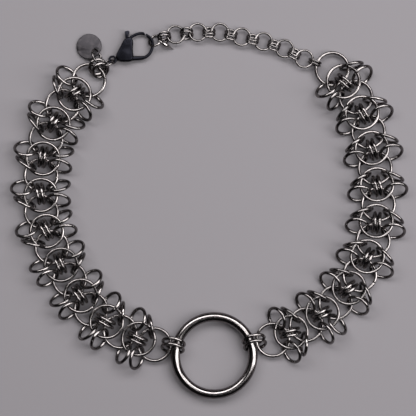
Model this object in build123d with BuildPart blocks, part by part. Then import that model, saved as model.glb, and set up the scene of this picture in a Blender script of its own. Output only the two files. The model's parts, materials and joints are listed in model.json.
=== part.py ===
from build123d import *
from math import atan2, cos, degrees, radians, sin, sqrt
import os

# Chain choker of round steel rings, lying flat as a closed loop. Millimetres; +Z up, the surface that
# it lies on is Z = 0, and the front O-ring is towards -Y. The origin is under the middle of the loop.

# Where the O-ring's middle is from the middle of the loop's footprint
O_RING_X = 1.86
O_RING_Y = -53.29

# Wire of the woven chain: the weave closes at set ratios of ring to wire, so each ring of it, and
# the room between rings, is the wire's diameter times a ratio
WIRE = 1.2

# Woven chain: mean radii are to the middle of the wire, heights are of each ring's middle
LINK_RADIUS = 5.0 * WIRE
LINK_HEIGHT = 1.7917 * WIRE
LINK_PITCH = 2 * LINK_RADIUS + 1.2833 * WIRE
FACE_HEIGHT = 2.9167 * WIRE
FACE_SETBACK = LINK_RADIUS + 0.1667 * WIRE
SMALL_RADIUS = 3.0 * WIRE
SMALL_HEIGHT = 3.5 * WIRE
SMALL_SPACING = 1.4167 * WIRE
SMALL_SETBACK = 0.475 * WIRE
EAR_RADIUS = 3.4167 * WIRE

# Front O-ring, raised by the jump rings that pass under it
O_RING_WIRE = 2.9167 * WIRE
O_RING_INSIDE_DIAMETER = 7.1429 * O_RING_WIRE
O_RING_HEIGHT = O_RING_WIRE / 2 + 1.5417 * WIRE
O_RING_RADIUS = (O_RING_INSIDE_DIAMETER + O_RING_WIRE) / 2

# Connectors: two jump rings side by side on each side of the O-ring, around its wire and the first
# link's, which lies beside the O-ring with a small clearance; their tops lean towards the clasp
CONNECTOR_RADIUS = 3.3333 * WIRE
CONNECTOR_HEIGHT = 3.4667 * WIRE
CONNECTOR_SPACING = 1.75 * WIRE
CONNECTOR_SHIFT = 0.8333 * WIRE
CONNECTOR_LEAN = 28.0
FIRST_LINK_CLEARANCE = 0.2
WIRES_APART = (O_RING_WIRE + WIRE) / 2 + FIRST_LINK_CLEARANCE
FIRST_LINK_GAP = sqrt(WIRES_APART ** 2 - (O_RING_HEIGHT - LINK_HEIGHT) ** 2)
CONNECTOR_REACH = O_RING_RADIUS + 0.59 * FIRST_LINK_GAP
FIRST_LINK_REACH = O_RING_RADIUS + FIRST_LINK_GAP + LINK_RADIUS

# The route: the direction from the O-ring to the first link, then each step's heading, in degrees
RIGHT_START = 14.5
RIGHT_HEADINGS = (24.5, 37.0, 49.0, 68.5, 82.0, 95.0, 100.5, 110.0, 130.0)
LEFT_START = 170.0
LEFT_HEADINGS = (159.5, 142.5, 125.5, 119.0, 106.5, 90.5, 82.0, 64.0, 44.0)

# Ear rings of a knot: across, along and height are shares of the link radius, angles in degrees
# columns: across, along, height, tilt, heading
EARS = {
    "crossed": ((0.973, 0.408, 0.775, 79.6, -117.4), (1.117, -0.468, 0.643, 52.1, -88.1)),
    "fanned": ((1.100, 0.310, 0.692, 59.4, 95.5), (1.097, -0.568, 0.725, 64.3, -100.0)),
}

# Knots from the O-ring up each side
# columns: turn of the small pair in degrees, ears on the inner side, ears on the outer side
RIGHT_KNOTS = (
    (-9, "crossed", "crossed"),
    (-5, "crossed", "fanned"),
    (-9, "crossed", "crossed"),
    (-8, "crossed", "crossed"),
    (0, "crossed", "crossed"),
    (7, "crossed", "crossed"),
    (6, "crossed", "crossed"),
    (9, "crossed", "crossed"),
    (9, "fanned", "crossed"),
)
LEFT_KNOTS = (
    (-4, "crossed", "fanned"),
    (8, "crossed", "fanned"),
    (-4, "crossed", "fanned"),
    (-8, "crossed", "fanned"),
    (9, "fanned", "crossed"),
    (6, "fanned", "crossed"),
    (-3, "fanned", "crossed"),
    (-8, "fanned", "crossed"),
    (-6, "fanned", "crossed"),
)

# Extension chain: flat links, leaning pairs between them, an upright pair on the woven chain
EXTENSION_WIRE = 0.7083 * WIRE
EXTENSION_RADIUS = 3.6824 * EXTENSION_WIRE
EXTENSION_HEIGHT = 2.5882 * EXTENSION_WIRE
EXTENSION_PITCH = 2 * EXTENSION_RADIUS + 2.2824 * EXTENSION_WIRE
EXTENSION_START = 160.0
EXTENSION_REACH = LINK_RADIUS + EXTENSION_RADIUS + 2.1412 * EXTENSION_WIRE
EXTENSION_HEADINGS = (152.5, 161.5, 168.0, 168.0, 180.0, 186.0)
THIN_WIRE = 0.6667 * WIRE
PAIR_RADIUS = 2.6875 * THIN_WIRE
PAIR_SPACING = 1.55 * THIN_WIRE
PAIR_LEANS = (36.0, 37.0, 35.0, 36.0, 37.0, -36.0)
JOINING_RADIUS = 2.75 * THIN_WIRE
JOINING_HEIGHT = 3.25 * THIN_WIRE
JOINING_SPACING = 1.25 * THIN_WIRE
LAST_PAIR_RADIUS = 2.8125 * THIN_WIRE

# Rings past the last extension link: shares of the link radius from that link, angles in degrees
# columns: across, along, height, tilt, heading
LAST_PAIR = ((-0.673, -0.242, 0.407, 60.2, -72.9), (-0.715, -0.070, 0.393, 59.6, -72.8))
END_RING = (-1.257, -0.373, 0.352, 43.1, 123.5)
END_RING_RADIUS = 3.125 * THIN_WIRE
DROP_LOOP = (-0.918, -0.482, 0.612, 82.7, -111.6)

# Drop: a loop with a pointed body
DROP_LOOP_RADIUS = 1.1875 * THIN_WIRE
DROP_LOOP_WIRE = 0.625 * THIN_WIRE
DROP_LENGTH = 6.5 * THIN_WIRE
DROP_DIAMETER = 0.3654 * DROP_LENGTH
DROP_SHOULDER = 0.22
DROP_TIP_RADIUS = 0.0631 * DROP_DIAMETER
DROP_HEADING = -26.3
DROP_FALL = 33.0

# Rings between the last left link and the clasp and tag, placed from the last link
# columns: across, along, height, tilt, heading
CLASP_PAIR_RADIUS = 2.4583 * WIRE
CLASP_PAIR = ((0.733, 0.632, 0.487, 45.2, -52.8), (0.542, 0.850, 0.372, 32.6, -56.6))
EYE_RING_RADIUS = 3.0 * THIN_WIRE
EYE_RING = (1.163, 1.055, 0.437, 113.3, -67.7)
TAG_RING_RADIUS = 3.375 * THIN_WIRE
TAG_RING = (0.517, 1.477, 0.468, 62.3, 23.4)

# Tag: a bare disc that leans on its ring, placed by its hole as shares of the link radius
TAG_DIAMETER = 9.4
TAG_THICKNESS = 1.125 * THIN_WIRE
TAG_EDGE_ROUND = 0.28 * TAG_THICKNESS
TAG_HOLE_DIAMETER = 2.5 * THIN_WIRE
TAG_HOLE_SETBACK = 0.8 * TAG_HOLE_DIAMETER
TAG_LEAN = 9.0
TAG_HEADING = -27.0
TAG_HOLE_ACROSS = 0.4684
TAG_HOLE_ALONG = 1.8707

# Lobster clasp, lying on its side; it closes the loop, so the span from its eye's ring to the end
# ring sets its length and turn, and all else about it is a share of that length
CLASP_SPAN = 1.21395
CLASP_SPAN_HEADING = 25.505
CLASP_THICKNESS = 0.2125
CLASP_ROUND = 0.0375
PIVOT_AT = (0.4759, 0.4950)
EYE_MEAN_RADIUS = 0.075
EYE_AT = (-0.361, -0.409)
PALM = (
    (0.02, 0.112),
    (-0.055, 0.085),
    (-0.165, -0.080),
    (-0.252, -0.243),
    (-0.280, -0.347),
    (-0.228, -0.430),
    (-0.070, -0.458),
    (0.098, -0.418),
    (0.118, -0.330),
    (0.106, -0.160),
    (0.108, 0.020),
    (0.085, 0.085),
)
HOOK = (
    (0.020, -0.385),
    (0.174, -0.390),
    (0.359, -0.363),
    (0.463, -0.301),
    (0.532, -0.197),
    (0.558, -0.081),
    (0.553, 0.000),
    (0.528, 0.069),
    (0.481, 0.113),
    (0.400, 0.171),
)
HOOK_ROOT_RADIUS = 0.0594
HOOK_WIRE_RADIUS = 0.0356
HOOK_TAPER = 0.36
MOUTH_RADIUS = 0.43
MOUTH_GAP = 0.16

# Lever: a hub on the pivot pin, the gate that closes the hook and the thumb nub; radii and
# thickness are shares of the clasp's length, clearances and the mouth's gap are millimetres
HUB_RADIUS = 0.0812
HUB_CLEARANCE = 0.15
PIN_RADIUS = 0.0281
PIN_CLEARANCE = 0.05
LEVER_THICKNESS = 0.0938
LEVER_SIDE_CLEARANCE = 0.15
SLOT_REACH = (0.3125, 0.1875)
GATE_WIRE_RADIUS = 0.0344
GATE = ((0.000, 0.030), (0.062, 0.106), (0.164, 0.166), (0.254, 0.194), (0.338, 0.197), (0.425, 0.157))
NUB = ((-0.064, 0.040), (0.020, 0.060), (0.004, 0.150), (0.034, 0.240), (-0.002, 0.261), (-0.080, 0.240))
NUB_ROUND = 0.025


def spot(origin, across, along, height=None):
    """Point that lies across and along from an origin, at a height above the surface."""
    return Vector(origin.X + across, origin.Y + along, origin.Z if height is None else height)


def plan_step(heading, distance):
    """Level vector with a heading and a length."""
    return Vector(cos(radians(heading)), sin(radians(heading)), 0) * distance


def ring(centre, tilt, heading, radius, wire):
    """Add a round ring whose axis leans by tilt from vertical towards the heading."""
    lean = radians(tilt)
    axis = plan_step(heading, sin(lean)) + Vector(0, 0, cos(lean))
    outward = plan_step(heading + 90, 1)
    section_plane = Plane(origin=centre + outward * radius, x_dir=outward, z_dir=axis.cross(outward))
    with BuildSketch(section_plane, mode=Mode.PRIVATE) as section:
        Circle(wire / 2)
    revolve(section.sketch, axis=Axis(centre, axis))


def placed_ring(origin, row, radius, wire):
    """Add a ring from a table row whose lengths are shares of the link radius."""
    across, along, height, tilt, heading = row
    centre = spot(origin, across * LINK_RADIUS, along * LINK_RADIUS, height * LINK_RADIUS)
    ring(centre, tilt, heading, radius, wire)


def side_by_side(centre, heading, radius, wire, spacing, lean=0.0):
    """Add two equal rings in planes along the heading, their tops leaning to the right of it."""
    aside = plan_step(heading - 90, 1)
    for side in (-1, 1):
        ring(centre + aside * (side * spacing / 2), 90 - lean, heading + 90, radius, wire)


def walk(start, headings, step):
    """Ring centres along the route."""
    centres = [start]
    for heading in headings:
        centres.append(centres[-1] + plan_step(heading, step))
    return centres


def knot(before, after, turn, inner, outer):
    """Add a knot between two links: face ring, small upright pair and two ears at each side."""
    along = (before - after).normalized()
    heading = degrees(atan2(along.Y, along.X))
    across = plan_step(heading - 90, 1)
    middle = before - along * FACE_SETBACK
    ring(spot(middle, 0, 0, FACE_HEIGHT), 0, 0, LINK_RADIUS, WIRE)
    pair = spot(middle - along * SMALL_SETBACK, 0, 0, SMALL_HEIGHT)
    side_by_side(pair, heading + turn, SMALL_RADIUS, WIRE, SMALL_SPACING)
    for side, kind in ((-1, inner), (1, outer)):
        for shift, travel, height, tilt, lean_heading in EARS[kind]:
            centre = middle + across * (side * shift * LINK_RADIUS) + along * (travel * LINK_RADIUS)
            facing = lean_heading if side > 0 else 180 - lean_heading
            ring(spot(centre, 0, 0, height * LINK_RADIUS), tilt, heading - 90 + facing, EAR_RADIUS, WIRE)


os.makedirs("parts", exist_ok=True)

o_middle = Vector(O_RING_X, O_RING_Y, 0)
right_start = o_middle + plan_step(RIGHT_START, FIRST_LINK_REACH)
left_start = o_middle + plan_step(LEFT_START, FIRST_LINK_REACH)
right_centres = walk(right_start, RIGHT_HEADINGS, LINK_PITCH)
left_centres = walk(left_start, LEFT_HEADINGS, LINK_PITCH)

# Front O-ring
with BuildPart() as o_ring:
    ring(spot(o_middle, 0, 0, O_RING_HEIGHT), 0, 0, O_RING_RADIUS, O_RING_WIRE)
o_ring.part.label = "o_ring"
export_step(o_ring.part, "parts/o_ring.step")

# Pair of leaning jump rings on each side of the O-ring
for side, start, way in (("right", RIGHT_START, -1), ("left", LEFT_START, 1)):
    with BuildPart() as connector:
        middle = o_middle + plan_step(start, CONNECTOR_REACH) + plan_step(start - 90, way * CONNECTOR_SHIFT)
        middle = spot(middle, 0, 0, CONNECTOR_HEIGHT)
        side_by_side(middle, start, CONNECTOR_RADIUS, WIRE, CONNECTOR_SPACING, way * CONNECTOR_LEAN)
    connector.part.label = f"connector_{side}"
    export_step(connector.part, f"parts/connector_{side}.step")

# Large flat links
for letter, centres in (("r", right_centres), ("l", left_centres)):
    for number, centre in enumerate(centres, start=1):
        with BuildPart() as link:
            ring(spot(centre, 0, 0, LINK_HEIGHT), 0, 0, LINK_RADIUS, WIRE)
        link.part.label = f"link_{letter}{number:02d}"
        export_step(link.part, f"parts/link_{letter}{number:02d}.step")

# Knots on the right, counted from the O-ring
for number, (turn, inner, outer) in enumerate(RIGHT_KNOTS, start=1):
    with BuildPart() as right_knot:
        knot(right_centres[number], right_centres[number - 1], turn, inner, outer)
    right_knot.part.label = f"knot_r{number:02d}"
    export_step(right_knot.part, f"parts/knot_r{number:02d}.step")

# Knots on the left, counted from the O-ring
for number, (turn, inner, outer) in enumerate(LEFT_KNOTS, start=1):
    with BuildPart() as left_knot:
        knot(left_centres[number - 1], left_centres[number], turn, inner, outer)
    left_knot.part.label = f"knot_l{number:02d}"
    export_step(left_knot.part, f"parts/knot_l{number:02d}.step")

# Extension chain with the pair that joins it to the woven chain
last_right = right_centres[-1]
extension_start = last_right + plan_step(EXTENSION_START, EXTENSION_REACH)
extension_centres = walk(extension_start, EXTENSION_HEADINGS, EXTENSION_PITCH)
joining_reach = (EXTENSION_REACH + LINK_RADIUS - EXTENSION_RADIUS) / 2
with BuildPart() as extension_chain:
    joining = spot(last_right + plan_step(EXTENSION_START, joining_reach), 0, 0, JOINING_HEIGHT)
    side_by_side(joining, EXTENSION_START, JOINING_RADIUS, THIN_WIRE, JOINING_SPACING)
    for centre in extension_centres:
        ring(spot(centre, 0, 0, EXTENSION_HEIGHT), 0, 0, EXTENSION_RADIUS, EXTENSION_WIRE)
    for near, far, lean in zip(extension_centres, extension_centres[1:], PAIR_LEANS):
        step = far - near
        middle = spot((near + far) * 0.5, 0, 0, EXTENSION_HEIGHT)
        step_heading = degrees(atan2(step.Y, step.X))
        side_by_side(middle, step_heading, PAIR_RADIUS, THIN_WIRE, PAIR_SPACING, -lean)
    for row in LAST_PAIR:
        placed_ring(extension_centres[-1], row, LAST_PAIR_RADIUS, THIN_WIRE)
extension_chain.part.label = "extension_chain"
export_step(extension_chain.part, "parts/extension_chain.step")

# Small ring that the clasp hooks into
with BuildPart() as end_ring:
    placed_ring(extension_centres[-1], END_RING, END_RING_RADIUS, THIN_WIRE)
end_ring.part.label = "end_ring"
export_step(end_ring.part, "parts/end_ring.step")

# Pointed drop on its own small loop
drop_across, drop_along, drop_height = (share * LINK_RADIUS for share in DROP_LOOP[:3])
drop_top = spot(extension_centres[-1], drop_across, drop_along, drop_height)
fall = radians(DROP_FALL)
drop_axis = plan_step(DROP_HEADING, cos(fall)) - Vector(0, 0, sin(fall))
with BuildPart() as end_drop:
    placed_ring(extension_centres[-1], DROP_LOOP, DROP_LOOP_RADIUS, DROP_LOOP_WIRE)
    body_plane = Plane(
        origin=drop_top + drop_axis * DROP_LOOP_RADIUS,
        x_dir=plan_step(DROP_HEADING + 90, 1),
        z_dir=drop_axis.cross(plan_step(DROP_HEADING + 90, 1)) * -1,
    )
    shoulder = DROP_LENGTH * DROP_SHOULDER
    with BuildSketch(body_plane) as profile:
        with BuildLine() as edge:
            Polyline((0, 0), (DROP_LOOP_WIRE * 0.8, 0))
            Spline(
                (DROP_LOOP_WIRE * 0.8, 0),
                (DROP_DIAMETER / 2, shoulder),
                (DROP_DIAMETER * 0.24, DROP_LENGTH * 0.68),
                (DROP_TIP_RADIUS, DROP_LENGTH),
            )
            Polyline((DROP_TIP_RADIUS, DROP_LENGTH), (0, DROP_LENGTH), (0, 0))
        make_face()
    revolve(profile.sketch, axis=Axis(body_plane.origin, drop_axis))
end_drop.part.label = "end_drop"
export_step(end_drop.part, "parts/end_drop.step")

# Rings on the last left link: a pair, and the small ring in the clasp's eye
last_left = left_centres[-1]
with BuildPart() as clasp_rings:
    for row in CLASP_PAIR:
        placed_ring(last_left, row, CLASP_PAIR_RADIUS, WIRE)
    placed_ring(last_left, EYE_RING, EYE_RING_RADIUS, THIN_WIRE)
clasp_rings.part.label = "clasp_rings"
export_step(clasp_rings.part, "parts/clasp_rings.step")

# Ring in the tag's hole
with BuildPart() as tag_ring:
    placed_ring(last_left, TAG_RING, TAG_RING_RADIUS, THIN_WIRE)
tag_ring.part.label = "tag_ring"
export_step(tag_ring.part, "parts/tag_ring.step")

# Bare tag, its far edge on the surface and the side with the hole raised
tag_lean = radians(TAG_LEAN)
tag_height = TAG_DIAMETER / 2 * sin(tag_lean) + TAG_THICKNESS / 2 * cos(tag_lean)
tag_hole = spot(last_left, TAG_HOLE_ACROSS * LINK_RADIUS, TAG_HOLE_ALONG * LINK_RADIUS)
hole_reach = TAG_DIAMETER / 2 - TAG_HOLE_SETBACK
tag_middle = spot(tag_hole - plan_step(TAG_HEADING, hole_reach * cos(tag_lean)), 0, 0, tag_height)
tag_uphill = plan_step(TAG_HEADING, cos(tag_lean)) + Vector(0, 0, sin(tag_lean))
tag_normal = Vector(0, 0, cos(tag_lean)) - plan_step(TAG_HEADING, sin(tag_lean))
with BuildPart() as tag:
    with BuildSketch(Plane(origin=tag_middle, x_dir=tag_uphill, z_dir=tag_normal)):
        Circle(TAG_DIAMETER / 2)
        with Locations((hole_reach, 0)):
            Circle(TAG_HOLE_DIAMETER / 2, mode=Mode.SUBTRACT)
    extrude(amount=TAG_THICKNESS / 2, both=True)
    fillet(tag.edges().filter_by(lambda edge: edge.length > TAG_DIAMETER * 2), TAG_EDGE_ROUND)
tag.part.label = "tag"
export_step(tag.part, "parts/tag.step")

# Where the clasp lies: between the ring in its eye and the end ring
eye_ring_middle = spot(last_left, EYE_RING[0] * LINK_RADIUS, EYE_RING[1] * LINK_RADIUS)
end_ring_middle = spot(extension_centres[-1], END_RING[0] * LINK_RADIUS, END_RING[1] * LINK_RADIUS)
span = end_ring_middle - eye_ring_middle
clasp_length = span.length / CLASP_SPAN
clasp_turn = degrees(atan2(span.Y, span.X)) - CLASP_SPAN_HEADING
clasp_thickness = CLASP_THICKNESS * clasp_length
clasp_x = plan_step(clasp_turn, 1)
clasp_y = plan_step(clasp_turn + 90, 1)
pivot = eye_ring_middle + (clasp_x * PIVOT_AT[0] + clasp_y * PIVOT_AT[1]) * clasp_length
clasp_plane = Plane(origin=spot(pivot, 0, 0, clasp_thickness / 2), x_dir=clasp_x)


def shares(points):
    """Points of the clasp's plane from shares of the clasp's length."""
    return [(across * clasp_length, along * clasp_length) for across, along in points]


# Lobster clasp: palm, hook, eye and pivot pin as one soldered piece
lever_thickness = LEVER_THICKNESS * clasp_length
slot_height = lever_thickness + 2 * LEVER_SIDE_CLEARANCE
slot_radius = HUB_RADIUS * clasp_length + HUB_CLEARANCE
slot_reach, slot_back = (share * clasp_length for share in SLOT_REACH)
mouth_radius = MOUTH_RADIUS * clasp_length
pin_radius = PIN_RADIUS * clasp_length
eye_radius = EYE_MEAN_RADIUS * clasp_length
with BuildPart() as clasp_body:
    with BuildSketch(clasp_plane):
        with BuildLine():
            Spline(*shares(PALM), periodic=True)
        make_face()
    extrude(amount=clasp_thickness / 2, both=True)
    fillet(clasp_body.edges(), CLASP_ROUND * clasp_length)
    with BuildLine(clasp_plane) as hook_line:
        Spline(*shares(HOOK))
    hook_path = hook_line.wires()[0]
    hook_root = Plane(origin=hook_path @ 0.0, z_dir=hook_path % 0.0)
    with BuildSketch(hook_root, mode=Mode.PRIVATE) as hook_section:
        Circle(HOOK_WIRE_RADIUS * clasp_length)
    sweep(hook_section.sketch, path=hook_path)
    with BuildSketch(hook_root, mode=Mode.PRIVATE) as root_section:
        Circle(HOOK_ROOT_RADIUS * clasp_length)
    hook_taper = Plane(origin=hook_path @ HOOK_TAPER, z_dir=hook_path % HOOK_TAPER)
    with BuildSketch(hook_taper, mode=Mode.PRIVATE) as taper_section:
        Circle(HOOK_WIRE_RADIUS * 0.98 * clasp_length)
    loft([root_section.sketch.face(), taper_section.sketch.face()])
    with BuildSketch(clasp_plane):
        Circle(mouth_radius + MOUTH_GAP / 2)
        with Locations((0, -mouth_radius)):
            Rectangle(mouth_radius * 3, mouth_radius * 2, mode=Mode.SUBTRACT)
        with Locations((0, mouth_radius / 2)):
            Rectangle(mouth_radius * 0.9, mouth_radius * 2, mode=Mode.SUBTRACT)
    extrude(amount=clasp_thickness, both=True, mode=Mode.SUBTRACT)
    with BuildSketch(clasp_plane):
        Circle(slot_radius)
        Polygon(
            (0, -slot_radius),
            (slot_reach, -slot_radius),
            (slot_reach, slot_reach),
            (-slot_back, slot_reach),
            (-slot_radius, 0),
            align=None,
        )
    extrude(amount=slot_height / 2, both=True, mode=Mode.SUBTRACT)
    with BuildSketch(clasp_plane):
        Circle(pin_radius)
    extrude(amount=(clasp_thickness + slot_height) / 4, both=True)
    eye_centre = clasp_plane.from_local_coords(Vector(*shares([EYE_AT])[0], 0))
    ring(eye_centre, 0, 0, eye_radius, THIN_WIRE)
    with BuildSketch(Plane(origin=eye_centre + clasp_x * eye_radius, z_dir=clasp_x + clasp_y * 0.25)):
        Circle(THIN_WIRE * 0.6)
    extrude(amount=eye_radius * 1.5)
clasp_body.part.label = "clasp_body"
export_step(clasp_body.part, "parts/clasp_body.step")

# Lever of the clasp, closed
with BuildPart() as clasp_lever:
    with BuildSketch(clasp_plane):
        Circle(HUB_RADIUS * clasp_length)
    extrude(amount=lever_thickness / 2, both=True)
    with BuildSketch(clasp_plane) as nub:
        Polygon(*shares(NUB), align=None)
        fillet(nub.vertices(), NUB_ROUND * clasp_length)
    extrude(amount=lever_thickness / 2, both=True)
    with BuildLine(clasp_plane) as gate_line:
        Spline(*shares(GATE))
    gate_path = gate_line.wires()[0]
    gate_root = Plane(origin=gate_path @ 0, z_dir=gate_path % 0)
    with BuildSketch(gate_root, mode=Mode.PRIVATE) as gate_section:
        Circle(GATE_WIRE_RADIUS * clasp_length)
    sweep(gate_section.sketch, path=gate_path)
    with BuildSketch(clasp_plane):
        Circle(mouth_radius - MOUTH_GAP / 2)
    extrude(amount=clasp_thickness, both=True, mode=Mode.INTERSECT)
    with BuildSketch(clasp_plane):
        Circle(pin_radius + PIN_CLEARANCE)
    extrude(amount=clasp_thickness, both=True, mode=Mode.SUBTRACT)
clasp_lever.part.label = "clasp_lever"
export_step(clasp_lever.part, "parts/clasp_lever.step")
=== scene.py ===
"""Chain choker of round steel rings: its visual model, finishes, floor, light and camera."""

import json
import logging
import math
import random

from dataclasses import dataclass, field
from enum import Enum

import bmesh
import bpy
import numpy as np
from mathutils import Matrix, Vector

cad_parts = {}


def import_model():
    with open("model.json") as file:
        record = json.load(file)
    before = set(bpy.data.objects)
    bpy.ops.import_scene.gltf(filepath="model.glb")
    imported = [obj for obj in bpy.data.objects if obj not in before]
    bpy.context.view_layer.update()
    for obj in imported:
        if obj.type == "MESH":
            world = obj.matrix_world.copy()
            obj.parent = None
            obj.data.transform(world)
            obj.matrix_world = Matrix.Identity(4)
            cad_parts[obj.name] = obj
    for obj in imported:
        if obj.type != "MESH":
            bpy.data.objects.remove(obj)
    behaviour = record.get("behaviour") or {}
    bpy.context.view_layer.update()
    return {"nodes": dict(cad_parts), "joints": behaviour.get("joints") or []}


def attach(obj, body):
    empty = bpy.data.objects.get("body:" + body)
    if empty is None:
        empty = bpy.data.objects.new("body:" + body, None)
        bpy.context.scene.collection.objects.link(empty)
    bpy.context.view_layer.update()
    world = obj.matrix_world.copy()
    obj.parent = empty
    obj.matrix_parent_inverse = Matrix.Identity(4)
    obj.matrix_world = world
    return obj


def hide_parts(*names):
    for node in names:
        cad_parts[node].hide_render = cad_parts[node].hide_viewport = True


LOG = logging.getLogger("choker")
MM = 0.001
FULL_TURN = 2 * math.pi
Colour = tuple[float, float, float]

# Vertices that are no further apart than this, in metres, are one vertex.
SAME_VERTEX = 1e-7
SAME_VERTEX_IN_SOLID = 2e-6

# Mean radius of the front O-ring, in millimetres, as its solid has it.
O_RING_MEAN_RADIUS = 14.25

# Numbers of the colour sockets of a Mix node, which has others of the same names.
MIX_LOW, MIX_HIGH, MIX_RESULT = 6, 7, 2

# A face with this many sides or more is the flat end of a wire or pin.
FLAT_END_SIDES = 6

# Faces that meet at less than this, in degrees, are one flat face.
FLAT_ANGLE = 1.0

# A vertex this near to a level, in millimetres, lies on it.
ON_LEVEL = 0.01


class Closure(Enum):
    """How a ring's wire meets itself."""

    BUTTED = "cut ends pressed together"
    SOLDERED = "no joint to be seen"


class Value:
    """A number that varies over a surface: a shader socket with the arithmetic of numbers."""

    def __init__(self, recipe: "Recipe", socket: bpy.types.NodeSocket) -> None:
        """Wrap a socket.

        Args:
            recipe: the recipe whose node tree the socket belongs to.
            socket: the output socket that carries the number.
        """
        self.recipe = recipe
        self.socket = socket

    def _math(self, operation: str, *terms: object) -> "Value":
        """Add one Math node over some terms and return its result."""
        sockets = dict(enumerate(terms))
        node = self.recipe.add("ShaderNodeMath", {"operation": operation}, sockets)
        return Value(self.recipe, node.outputs[0])

    def __add__(self, other: object) -> "Value":
        """Sum."""
        return self._math("ADD", self, other)

    def __sub__(self, other: object) -> "Value":
        """Difference."""
        return self._math("SUBTRACT", self, other)

    def __mul__(self, other: object) -> "Value":
        """Product."""
        return self._math("MULTIPLY", self, other)

    def __pow__(self, other: object) -> "Value":
        """Power."""
        return self._math("POWER", self, other)

    def above(self, low: float, high: float) -> "Value":
        """Ramp from 0 at low to 1 at high, held at both ends.

        Args:
            low: where the ramp starts.
            high: where the ramp ends.

        Returns:
            The held ramp.
        """
        settings = {"interpolation_type": "SMOOTHSTEP"}
        sockets = {"Value": self, "From Min": low, "From Max": high}
        node = self.recipe.add("ShaderNodeMapRange", settings, sockets)
        return Value(self.recipe, node.outputs["Result"])


class Recipe:
    """A material's node tree, written as expressions."""

    def __init__(self, name: str) -> None:
        """Start an empty material.

        Args:
            name: the material's name.
        """
        self.material = bpy.data.materials.new(name)
        self.material.use_nodes = True
        self.tree = self.material.node_tree
        self.tree.nodes.clear()

    def add(self, kind: str, settings: dict, sockets: dict) -> bpy.types.Node:
        """Add a node, set its options first and then fill its sockets.

        Args:
            kind: the node's type.
            settings: option names and values.
            sockets: input names or numbers, with numbers, tuples, Values or sockets.

        Returns:
            The new node.
        """
        node = self.tree.nodes.new(kind)
        for name, value in settings.items():
            setattr(node, name, value)
        for name, value in sockets.items():
            source = value.socket if isinstance(value, Value) else value
            if isinstance(source, bpy.types.NodeSocket):
                self.tree.links.new(source, node.inputs[name])
            else:
                node.inputs[name].default_value = source
        return node

    def place(self) -> bpy.types.NodeSocket:
        """Object coordinates, in metres."""
        return self.add("ShaderNodeTexCoord", {}, {}).outputs["Object"]

    def stretched(
        self, vector: bpy.types.NodeSocket, scale: tuple, turn: float = 0.0
    ) -> bpy.types.NodeSocket:
        """Coordinates that are stretched and turned about the Z axis.

        Args:
            vector: the coordinates to start from.
            scale: the factors along X, Y and Z.
            turn: the turn in radians.

        Returns:
            The stretched coordinates.
        """
        sockets = {"Vector": vector, "Rotation": (0, 0, turn), "Scale": scale}
        return self.add("ShaderNodeMapping", {}, sockets).outputs["Vector"]

    def along_wire(self, along: float, around: float) -> bpy.types.NodeSocket:
        """Coordinates that run along and around a wire, stretched.

        Args:
            along: how many pattern units there are to a metre along the wire.
            around: how many there are to a metre around it.

        Returns:
            The stretched coordinates.
        """
        layout = self.add("ShaderNodeUVMap", {"uv_map": "wire"}, {}).outputs["UV"]
        return self.stretched(layout, (along, around, 1.0))

    def held(self, layer: str) -> Value:
        """A number that a mesh layer holds for each loose ring.

        Args:
            layer: the layer's name.

        Returns:
            The number.
        """
        node = self.add("ShaderNodeAttribute", {"attribute_name": layer}, {})
        return Value(self, node.outputs["Fac"])

    def noise(
        self, vector: bpy.types.NodeSocket, scale: float, detail: float, rough: float = 0.5
    ) -> Value:
        """Cloudy noise from 0 to 1.

        Args:
            vector: the coordinates it reads.
            scale: its frequency.
            detail: how many finer layers it has.
            rough: how strong those are.

        Returns:
            The noise.
        """
        sockets = {"Vector": vector, "Scale": scale, "Detail": detail, "Roughness": rough}
        return Value(self, self.add("ShaderNodeTexNoise", {}, sockets).outputs["Fac"])

    def blend(self, share: Value, low: Colour, high: Colour) -> bpy.types.NodeSocket:
        """Colour between two colours.

        Args:
            share: 0 gives low and 1 gives high.
            low: red, green, blue.
            high: red, green, blue.

        Returns:
            The blended colour.
        """
        node = self.add("ShaderNodeMix", {"data_type": "RGBA"}, {"Factor": share})
        node.inputs[MIX_LOW].default_value = (*low, 1.0)
        node.inputs[MIX_HIGH].default_value = (*high, 1.0)
        return node.outputs[MIX_RESULT]

    def relief(self, height: Value, depth: float) -> bpy.types.NodeSocket:
        """Normal of a low relief.

        Args:
            height: the relief, from 0 to 1.
            depth: its depth in millimetres.

        Returns:
            The bumped normal.
        """
        sockets = {"Height": height, "Strength": 1.0, "Distance": depth * MM}
        return self.add("ShaderNodeBump", {}, sockets).outputs["Normal"]

    def finish(self, sockets: dict) -> bpy.types.Material:
        """Close the recipe with the shader and its output.

        Args:
            sockets: the shader's input names, with numbers, tuples, Values or sockets.

        Returns:
            The finished material.
        """
        shader = self.add("ShaderNodeBsdfPrincipled", {}, sockets)
        self.add("ShaderNodeOutputMaterial", {}, {"Surface": shader.outputs["BSDF"]})
        return self.material


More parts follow.
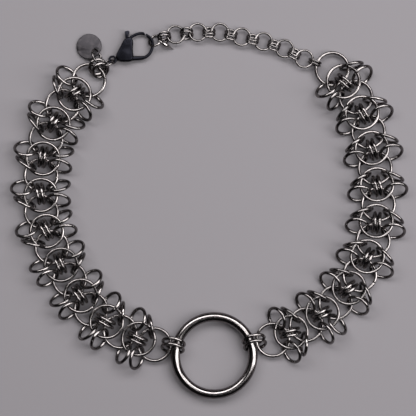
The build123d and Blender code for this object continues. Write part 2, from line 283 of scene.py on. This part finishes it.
@dataclass(frozen=True)
class PolishedWire:
    """Polished steel wire: drawing lines along it, handling haze, fine scratches, dull spots.

    Lengths are in millimetres, apart from seam_reach: half the wire's length in metres where
    its soldered seam shows, or 0 where it has none.
    """

    name: str = "polished_wire"
    light: Colour = (0.220, 0.201, 0.198)
    dark: Colour = (0.070, 0.065, 0.066)
    gloss: float = 0.13
    haze: float = 0.09
    depth: float = 0.004
    seam_reach: float = 0.0
    seam_width: float = 0.9
    seam_raggedness: float = 0.7

    def material(self) -> bpy.types.Material:
        """Make the material.

        Returns:
            The finished material.
        """
        recipe = Recipe(self.name)
        place = recipe.place()
        drawn = recipe.along_wire(along=240.0, around=8000.0)
        lines = recipe.noise(drawn, scale=1.0, detail=2.0)
        rubbed = recipe.along_wire(along=2600.0, around=700.0)
        scratches = recipe.noise(rubbed, scale=1.0, detail=3.0).above(low=0.60, high=0.68)
        handled = recipe.noise(place, scale=420.0, detail=4.0).above(low=0.42, high=0.68)
        spots = recipe.noise(place, scale=2600.0, detail=2.0).above(low=0.60, high=0.74)
        batch = recipe.held("batch")
        dull = handled * 0.6 + spots * 0.4 + scratches * 0.35
        if self.seam_reach:
            dull = dull + self.seam(recipe)
        tone = handled * 0.4 + lines * 0.25 + batch * 0.35
        return recipe.finish(
            {
                "Base Color": recipe.blend(tone, self.light, self.dark),
                "Metallic": 1.0,
                "Roughness": dull * self.haze + lines * 0.05 + batch * 0.04 + self.gloss,
                "Normal": recipe.relief(lines * 0.5 + spots * 0.2 + scratches * 0.3, self.depth),
            }
        )

    def seam(self, recipe: Recipe) -> Value:
        """Mark of the soldered seam: a narrow band across the wire where its layout ends.

        Args:
            recipe: the material's recipe.

        Returns:
            The band, from 0 to 1.
        """
        layout = recipe.along_wire(along=1.0, around=1.0)
        parts = recipe.add("ShaderNodeSeparateXYZ", {}, {"Vector": layout})
        along = Value(recipe, parts.outputs["X"])
        uneven = recipe.noise(recipe.place(), scale=1800.0, detail=3.0)
        ragged = uneven * (self.seam_raggedness * MM * self.seam_reach)
        start = self.seam_reach - self.seam_width * MM
        return (along**2.0 + ragged).above(low=start**2, high=self.seam_reach**2)


@dataclass(frozen=True)
class DarkSteel:
    """Dark satin steel: cloudy wear, fine cast grain and hairline scratches one way."""

    name: str = "gunmetal"
    worn: Colour = (0.019, 0.019, 0.025)
    dark: Colour = (0.0045, 0.0045, 0.006)
    gloss: float = 0.26
    haze: float = 0.20
    depth: float = 0.008

    def material(self) -> bpy.types.Material:
        """Make the material.

        Returns:
            The finished material.
        """
        recipe = Recipe(self.name)
        place = recipe.place()
        cloudy = recipe.noise(place, scale=260.0, detail=5.0, rough=0.6)
        clouds = cloudy.above(low=0.42, high=0.74)
        grain = recipe.noise(place, scale=7000.0, detail=3.0)
        wiped = recipe.stretched(place, scale=(1, 22, 4), turn=-1.1)
        hairs = recipe.noise(wiped, scale=700.0, detail=3.0).above(low=0.58, high=0.70)
        wear = clouds * 0.55 + grain * 0.2 + hairs * 0.25
        return recipe.finish(
            {
                "Base Color": recipe.blend(wear, self.dark, self.worn),
                "Metallic": 1.0,
                "Roughness": clouds * self.haze + grain * 0.12 + hairs * 0.08 + self.gloss,
                "Normal": recipe.relief(grain * 0.7 - hairs * 0.3, self.depth),
            }
        )


@dataclass(frozen=True)
class DropSteel:
    """Bright turned steel: fine rings around the drop, handling haze and tiny nicks."""

    name: str = "turned_steel"
    light: Colour = (0.38, 0.355, 0.35)
    dark: Colour = (0.20, 0.19, 0.19)
    gloss: float = 0.11
    depth: float = 0.005

    def material(self) -> bpy.types.Material:
        """Make the material.

        Returns:
            The finished material.
        """
        recipe = Recipe(self.name)
        place = recipe.place()
        turned = recipe.stretched(place, scale=(9, 1, 1), turn=0.46)
        lines = recipe.noise(turned, scale=1400.0, detail=2.0)
        haze = recipe.noise(place, scale=600.0, detail=4.0).above(low=0.42, high=0.70)
        nicks = recipe.noise(place, scale=3200.0, detail=1.0).above(low=0.66, high=0.76)
        return recipe.finish(
            {
                "Base Color": recipe.blend(haze * 0.6 + lines * 0.4, self.light, self.dark),
                "Metallic": 1.0,
                "Roughness": haze * 0.14 + lines * 0.08 + nicks * 0.1 + self.gloss,
                "Normal": recipe.relief(lines * 0.5 + haze * 0.2 - nicks * 0.3, self.depth),
            }
        )


@dataclass(frozen=True)
class WornDisc:
    """Bare disc: brushed one way, dull and dark, with paler scuffs and small dents."""

    name: str = "worn_disc"
    light: Colour = (0.064, 0.058, 0.062)
    dark: Colour = (0.017, 0.016, 0.018)
    gloss: float = 0.28
    depth: float = 0.014

    def material(self) -> bpy.types.Material:
        """Make the material.

        Returns:
            The finished material.
        """
        recipe = Recipe(self.name)
        place = recipe.place()
        brushed = recipe.stretched(place, scale=(1, 14, 1), turn=0.6)
        strokes = recipe.noise(brushed, scale=900.0, detail=4.0)
        scuffed = recipe.noise(place, scale=520.0, detail=5.0, rough=0.6)
        scuffs = scuffed.above(low=0.45, high=0.72)
        dents = recipe.noise(place, scale=1500.0, detail=1.0).above(low=0.66, high=0.78)
        wear = scuffs * 0.55 + strokes * 0.35 + dents * 0.1
        return recipe.finish(
            {
                "Base Color": recipe.blend(wear, self.dark, self.light),
                "Metallic": 1.0,
                "Roughness": scuffs * 0.16 + strokes * 0.14 + self.gloss,
                "Normal": recipe.relief(strokes * 0.4 + scuffs * 0.2 - dents * 0.4, self.depth),
            }
        )


@dataclass(frozen=True)
class PaleSweep:
    """Plain pale floor."""

    name: str = "pale_floor"
    colour: Colour = (0.158, 0.148, 0.157)
    roughness: float = 0.9
    sheen: float = 0.1

    def material(self) -> bpy.types.Material:
        """Make the material.

        Returns:
            The finished material.
        """
        return Recipe(self.name).finish(
            {
                "Base Color": (*self.colour, 1.0),
                "Roughness": self.roughness,
                "Specular IOR Level": self.sheen,
            }
        )


@dataclass
class LooseRing:
    """One ring of the frame: its middle, its axis, its mean radius and its wire, in metres."""

    middle: Vector
    axis: Vector
    radius: float
    wire: float


def rings_of(node: bpy.types.Object) -> list[LooseRing]:
    """Read the round rings that a frame node is made of.

    Args:
        node: the frame's mesh object.

    Returns:
        Its rings, in the order of their places.
    """
    mesh = bmesh.new()
    mesh.from_mesh(node.data)
    bmesh.ops.remove_doubles(mesh, verts=mesh.verts, dist=SAME_VERTEX)
    rings: list[LooseRing] = []
    waiting = set(mesh.verts)
    while waiting:
        island = {waiting.pop()}
        edge_of_island = list(island)
        while edge_of_island:
            vertex = edge_of_island.pop()
            for edge in vertex.link_edges:
                other = edge.other_vert(vertex)
                if other in waiting:
                    waiting.remove(other)
                    island.add(other)
                    edge_of_island.append(other)
        rings.append(ring_through(np.array([vertex.co[:] for vertex in island])))
    mesh.free()
    return sorted(rings, key=lambda ring: (round(ring.middle.x, 6), round(ring.middle.y, 6)))


def ring_through(points: np.ndarray) -> LooseRing:
    """Measure the round ring whose surface some points lie on.

    Args:
        points: the points, one to a row, in metres.

    Returns:
        The ring.
    """
    middle = (points.max(axis=0) + points.min(axis=0)) / 2
    axis = np.linalg.svd(points - points.mean(axis=0), full_matrices=False)[2][2]
    height = (points - middle) @ axis
    outward = np.linalg.norm(points - middle - np.outer(height, axis), axis=1)
    wire = outward.max() - outward.min()
    return LooseRing(Vector(middle), Vector(axis), float(outward.max() - wire / 2), float(wire))


def soften(
    mesh: bmesh.types.BMesh, edges: list, width: float, segments: int, clamp: bool = False
) -> None:
    """Round some edges of a mesh.

    Args:
        mesh: the mesh.
        edges: its edges to round.
        width: the rounded edge's width in metres.
        segments: how many faces there are across it.
        clamp: whether the width gives way where two rounded edges would meet.
    """
    bmesh.ops.bevel(
        mesh,
        geom=edges,
        offset=width,
        offset_type="OFFSET",
        segments=segments,
        profile=0.5,
        affect="EDGES",
        clamp_overlap=clamp,
        material=-1,
    )


def smooth_round_faces(mesh: bmesh.types.BMesh) -> None:
    """Shade a turned mesh smooth, apart from its flat ends.

    Args:
        mesh: the mesh.
    """
    for face in mesh.faces:
        face.smooth = len(face.verts) < FLAT_END_SIDES


def smooth_between_creases(mesh: bmesh.types.BMesh, crease: float) -> None:
    """Shade a mesh smooth, apart from its creases.

    Args:
        mesh: the mesh.
        crease: the angle in degrees from which an edge is a crease.
    """
    for face in mesh.faces:
        face.smooth = True
    for edge in mesh.edges:
        edge.smooth = edge.calc_face_angle(math.pi) < math.radians(crease)


@dataclass
class RingMould:
    """Makes a ring's mesh: a wire turned around an axis, with its cut where it was closed.

    A wire thicker than thick_wire gets more_around more sides. Lengths are in millimetres.
    """

    around: int = 16
    more_around: int = 12
    thick_wire: float = 3.0
    per_millimetre: float = 1.9
    least_steps: int = 40
    cut_width: float = 0.07
    cut_round: float = 0.05
    seam_turn: float = math.radians(-12)
    size_digits: int = 5
    seed: int = 7

    def __post_init__(self) -> None:
        """Start the stock of moulded rings."""
        self.stock: dict[tuple, bpy.types.Mesh] = {}
        self.chance = random.Random(self.seed)

    def turned(self, radius: float, wire: float, closure: Closure) -> bpy.types.Mesh:
        """Turn a ring about the Z axis, or take it from the stock.

        Args:
            radius: its mean radius in metres.
            wire: its wire's diameter in metres.
            closure: how its wire meets itself.

        Returns:
            The ring's mesh, about the origin.
        """
        key = (round(radius, self.size_digits), round(wire, self.size_digits), closure)
        if key in self.stock:
            return self.stock[key]
        around = self.around + (self.more_around if wire > self.thick_wire * MM else 0)
        steps = max(self.least_steps, int(FULL_TURN * radius / MM * self.per_millimetre))
        mesh = bmesh.new()
        upright = Matrix.Translation((radius, 0, 0)) @ Matrix.Rotation(math.pi / 2, 4, "X")
        bmesh.ops.create_circle(mesh, segments=around, radius=wire / 2, matrix=upright)
        whole = closure is Closure.SOLDERED
        bmesh.ops.spin(
            mesh,
            geom=list(mesh.verts) + list(mesh.edges),
            cent=(0, 0, 0),
            axis=(0, 0, 1),
            angle=FULL_TURN if whole else FULL_TURN - self.cut_width * MM / radius,
            steps=steps,
            use_merge=whole,
        )
        if whole:
            bmesh.ops.remove_doubles(mesh, verts=mesh.verts, dist=SAME_VERTEX)
        else:
            rims = [edge for edge in mesh.edges if edge.is_boundary]
            bmesh.ops.holes_fill(mesh, edges=rims, sides=around)
            soften(mesh, rims, self.cut_round * MM, segments=2)
        bmesh.ops.recalc_face_normals(mesh, faces=mesh.faces)
        self.lay_out(mesh, radius, wire)
        smooth_round_faces(mesh)
        moulded = bpy.data.meshes.new("moulded_ring")
        mesh.to_mesh(moulded)
        mesh.free()
        self.stock[key] = moulded
        return moulded

    @staticmethod
    def lay_out(mesh: bmesh.types.BMesh, radius: float, wire: float) -> None:
        """Lay the ring's surface out along and around its wire.

        Args:
            mesh: the ring about the Z axis.
            radius: its mean radius.
            wire: its wire's diameter.
        """

        def angles(point: Vector) -> tuple[float, float]:
            """Where a point lies along and around the wire, in radians."""
            outward = math.hypot(point.x, point.y)
            return math.atan2(point.y, point.x), math.atan2(point.z, outward - radius)

        layer = mesh.loops.layers.uv.new("wire")
        for face in mesh.faces:
            middle = angles(face.calc_center_median())
            for loop in face.loops:
                turn, roll = (
                    angle + FULL_TURN * round((near - angle) / FULL_TURN)
                    for angle, near in zip(angles(loop.vert.co), middle)
                )
                loop[layer].uv = (turn * radius, roll * wire / 2)

    def cast(self, name: str, rings: list[LooseRing], closure: Closure) -> bpy.types.Object:
        """Make one piece of some rings where they lie.

        A butted ring is turned about its axis by chance, a soldered one by seam_turn.

        Args:
            name: the piece's name.
            rings: the rings.
            closure: how each ring's wire meets itself.

        Returns:
            The piece, in the scene.
        """
        mesh = bmesh.new()
        batch = mesh.verts.layers.float.new("batch")
        whole = closure is Closure.SOLDERED
        for ring in rings:
            known = len(mesh.verts)
            mesh.from_mesh(self.turned(ring.radius, ring.wire, closure))
            mesh.verts.ensure_lookup_table()
            added = mesh.verts[known:]
            shade = self.chance.random()
            for vertex in added:
                vertex[batch] = shade
            axis = ring.axis if ring.axis.z >= 0 else -ring.axis
            turn = self.seam_turn if whole else self.chance.uniform(0, FULL_TURN)
            spin = Matrix.Rotation(turn, 4, "Z")
            lay = Vector((0, 0, 1)).rotation_difference(axis).to_matrix().to_4x4()
            place = Matrix.Translation(ring.middle) @ lay @ spin
            bmesh.ops.transform(mesh, matrix=place, verts=added)
        return piece_from(name, mesh)


def piece_from(name: str, mesh: bmesh.types.BMesh) -> bpy.types.Object:
    """Put a finished bmesh in the scene as an object at the origin.

    Args:
        name: the piece's name.
        mesh: its mesh, which is freed.

    Returns:
        The object.
    """
    data = bpy.data.meshes.new(name)
    mesh.to_mesh(data)
    mesh.free()
    piece = bpy.data.objects.new(name, data)
    bpy.context.scene.collection.objects.link(piece)
    return piece


@dataclass
class WovenChain:
    """Every node that is made of round rings, dressed as polished wire."""

    mould: RingMould = field(default_factory=RingMould)
    skipped: tuple[str, ...] = ("clasp_body", "clasp_lever", "end_drop", "tag")

    def build(
        self, nodes: dict, wire: bpy.types.Material, soldered: bpy.types.Material
    ) -> list[bpy.types.Object]:
        """Build the rings of each node.

        Args:
            nodes: the frame's nodes by name.
            wire: the jump rings' material.
            soldered: the O-ring's material.

        Returns:
            The pieces.
        """
        pieces = []
        for name in sorted(nodes):
            if name in self.skipped:
                continue
            closure = Closure.SOLDERED if name == "o_ring" else Closure.BUTTED
            piece = self.mould.cast(f"{name}_wire", rings_of(nodes[name]), closure)
            piece.data.materials.append(soldered if name == "o_ring" else wire)
            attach(piece, "chain")
            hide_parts(name)
            pieces.append(piece)
        return pieces


def welded(node: bpy.types.Object, crease: float) -> bmesh.types.BMesh:
    """Copy a frame node as one welded mesh, smooth between its creases.

    Args:
        node: the frame's mesh object.
        crease: the angle in degrees from which an edge is a crease.

    Returns:
        The welded mesh.
    """
    mesh = bmesh.new()
    mesh.from_mesh(node.data)
    bmesh.ops.remove_doubles(mesh, verts=mesh.verts, dist=SAME_VERTEX_IN_SOLID)
    bmesh.ops.dissolve_degenerate(mesh, edges=mesh.edges, dist=SAME_VERTEX)
    bmesh.ops.recalc_face_normals(mesh, faces=mesh.faces)
    smooth_between_creases(mesh, crease)
    return mesh


def eased(mesh: bmesh.types.BMesh, crease: float, width: float) -> bmesh.types.BMesh:
    """Ease the level rims of a flat stamped piece, so that they catch a line of light.

    Args:
        mesh: the welded mesh.
        crease: the angle in degrees from which an edge is a rim.
        width: the eased edge's width in metres.

    Returns:
        The same mesh.
    """
    limit = math.radians(FLAT_ANGLE)
    bmesh.ops.dissolve_limit(mesh, angle_limit=limit, verts=mesh.verts, edges=mesh.edges)
    heights = [vertex.co.z for vertex in mesh.verts]
    levels = (min(heights), max(heights))
    rims = [
        edge
        for edge in mesh.edges
        if edge.calc_face_angle(0.0) > math.radians(crease)
        and any(
            all(abs(vertex.co.z - level) < ON_LEVEL * MM for vertex in edge.verts)
            for level in levels
        )
    ]
    soften(mesh, rims, width, segments=2, clamp=True)
    smooth_between_creases(mesh, crease)
    return mesh


@dataclass
class Clasp:
    """Lobster clasp: body, lever and the upper head of its pivot pin.

    Angles are in degrees and lengths in millimetres.
    """

    crease: float = 33.0
    lever_easing: float = 0.11
    head_radius: float = 0.62
    head_rise: float = 0.14
    head_round: float = 0.12
    head_sides: int = 40

    def body(self, node: bpy.types.Object, dark: bpy.types.Material) -> bpy.types.Object:
        """Build the palm, hook and eye from the frame's solid.

        Args:
            node: the frame's clasp body.
            dark: the clasp's material.

        Returns:
            The piece.
        """
        piece = piece_from("clasp_shell", welded(node, self.crease))
        piece.data.materials.append(dark)
        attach(piece, "chain")
        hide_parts(node.name)
        return piece

    def lever(self, node: bpy.types.Object, dark: bpy.types.Material) -> bpy.types.Object:
        """Build the lever from the frame's solid.

        Args:
            node: the frame's lever.
            dark: the clasp's material.

        Returns:
            The piece.
        """
        gate = eased(welded(node, self.crease), self.crease, self.lever_easing * MM)
        piece = piece_from("clasp_gate", gate)
        piece.data.materials.append(dark)
        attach(piece, "lever")
        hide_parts(node.name)
        return piece

    def pin_head(
        self, pivot: Vector, top: float, dark: bpy.types.Material
    ) -> bpy.types.Object:
        """Build the riveted head of the pivot pin on the palm's upper face.

        Args:
            pivot: the middle of the pivot, in metres.
            top: the height of the palm's upper face, in metres.
            dark: the clasp's material.

        Returns:
            The piece.
        """
        mesh = bmesh.new()
        bmesh.ops.create_cone(
            mesh,
            cap_ends=True,
            segments=self.head_sides,
            radius1=self.head_radius * MM,
            radius2=self.head_radius * MM,
            depth=2 * self.head_rise * MM,
        )
        rim = [edge for edge in mesh.edges if all(vertex.co.z > 0 for vertex in edge.verts)]
        soften(mesh, rim, self.head_round * MM, segments=4)
        bmesh.ops.translate(mesh, vec=(pivot.x, pivot.y, top), verts=mesh.verts)
        bmesh.ops.recalc_face_normals(mesh, faces=mesh.faces)
        smooth_round_faces(mesh)
        piece = piece_from("pin_head", mesh)
        piece.data.materials.append(dark)
        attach(piece, "chain")
        return piece


@dataclass
class Charms:
    """The two small things that hang on rings: the round tag and the pointed drop.

    Creases are in degrees.
    """

    tag_crease: float = 50.0
    drop_crease: float = 40.0

    def tag(self, node: bpy.types.Object, disc: bpy.types.Material) -> bpy.types.Object:
        """Build the bare tag from the frame's solid.

        Args:
            node: the frame's tag.
            disc: the tag's material.

        Returns:
            The piece.
        """
        piece = piece_from("tag_disc", welded(node, self.tag_crease))
        piece.data.materials.append(disc)
        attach(piece, "chain")
        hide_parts(node.name)
        return piece

    def drop(self, node: bpy.types.Object, steel: bpy.types.Material) -> bpy.types.Object:
        """Build the pointed drop and its loop from the frame's solid.

        Args:
            node: the frame's drop.
            steel: the drop's material.

        Returns:
            The piece.
        """
        piece = piece_from("drop_point", welded(node, self.drop_crease))
        piece.data.materials.append(steel)
        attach(piece, "chain")
        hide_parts(node.name)
        return piece


@dataclass(frozen=True)
class Lamp:
    """A soft rectangular lamp: its place, width and height in metres and its power in watts."""

    name: str
    place: tuple[float, float, float]
    size: tuple[float, float]
    watts: float

    def hang(self) -> None:
        """Hang the lamp so that it faces the choker."""
        light = bpy.data.lights.new(self.name, "AREA")
        light.shape = "RECTANGLE"
        light.size, light.size_y = self.size
        light.energy = self.watts
        lamp = bpy.data.objects.new(self.name, light)
        lamp.location = self.place
        lamp.rotation_euler = (-Vector(self.place)).to_track_quat("-Z", "Y").to_euler()
        bpy.context.scene.collection.objects.link(lamp)


@dataclass
class Studio:
    """Floor, lights and camera; lengths in metres, places in the part's frame."""

    middle: tuple[float, float] = (-0.0004, 0.00095)
    shown_width: float = 0.15392
    camera_height: float = 0.62
    sensor: float = 36.0
    floor_size: float = 3.0
    surroundings: Colour = (0.010, 0.010, 0.011)
    lamps: tuple[Lamp, ...] = (
        Lamp("key", place=(0.03, 0.47, 0.80), size=(1.6, 0.40), watts=18.5),
        Lamp("side", place=(0.57, -0.10, 0.74), size=(0.38, 1.1), watts=11.0),
    )

    def floor(self, pale: bpy.types.Material) -> None:
        """Lay the floor.

        Args:
            pale: the floor's material.
        """
        mesh = bmesh.new()
        bmesh.ops.create_grid(mesh, x_segments=1, y_segments=1, size=self.floor_size / 2)
        sweep = piece_from("floor", mesh)
        sweep.data.materials.append(pale)

    def camera(self) -> None:
        """Stand the camera straight above the choker."""
        lens = bpy.data.cameras.new("camera")
        lens.sensor_width = self.sensor
        lens.lens = self.sensor * self.camera_height / self.shown_width
        camera = bpy.data.objects.new("camera", lens)
        camera.location = (*self.middle, self.camera_height)
        bpy.context.scene.collection.objects.link(camera)
        bpy.context.scene.camera = camera

    def light(self) -> None:
        """Hang the lamps and set the surroundings."""
        for lamp in self.lamps:
            lamp.hang()
        world = bpy.data.worlds.new("studio")
        world.use_nodes = True
        backdrop = world.node_tree.nodes["Background"]
        backdrop.inputs["Color"].default_value = (*self.surroundings, 1)
        bpy.context.scene.world = world


def main() -> None:
    """Build the choker's pieces in order and light them."""
    logging.basicConfig(level=logging.INFO, format="%(message)s")
    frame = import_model()
    nodes = frame["nodes"]
    wire = PolishedWire().material()
    gunmetal = DarkSteel().material()
    disc = WornDisc().material()
    half_length = math.pi * O_RING_MEAN_RADIUS * MM
    soldered = PolishedWire(name="soldered_ring", seam_reach=half_length).material()
    pieces = WovenChain().build(nodes, wire, soldered)
    clasp = Clasp()
    pivot = Vector(frame["joints"][0]["pos_m"])
    palm_top = 2 * pivot.z
    pieces.append(clasp.body(nodes["clasp_body"], gunmetal))
    pieces.append(clasp.lever(nodes["clasp_lever"], gunmetal))
    pieces.append(clasp.pin_head(pivot, palm_top, gunmetal))
    charms = Charms()
    pieces.append(charms.tag(nodes["tag"], disc))
    pieces.append(charms.drop(nodes["end_drop"], DropSteel().material()))
    for piece in pieces:
        LOG.info("%s: %d faces", piece.name, len(piece.data.polygons))
    studio = Studio()
    studio.floor(PaleSweep().material())
    studio.light()
    studio.camera()
    bpy.context.scene.view_settings.view_transform = "Standard"


if __name__ == "__main__":
    main()
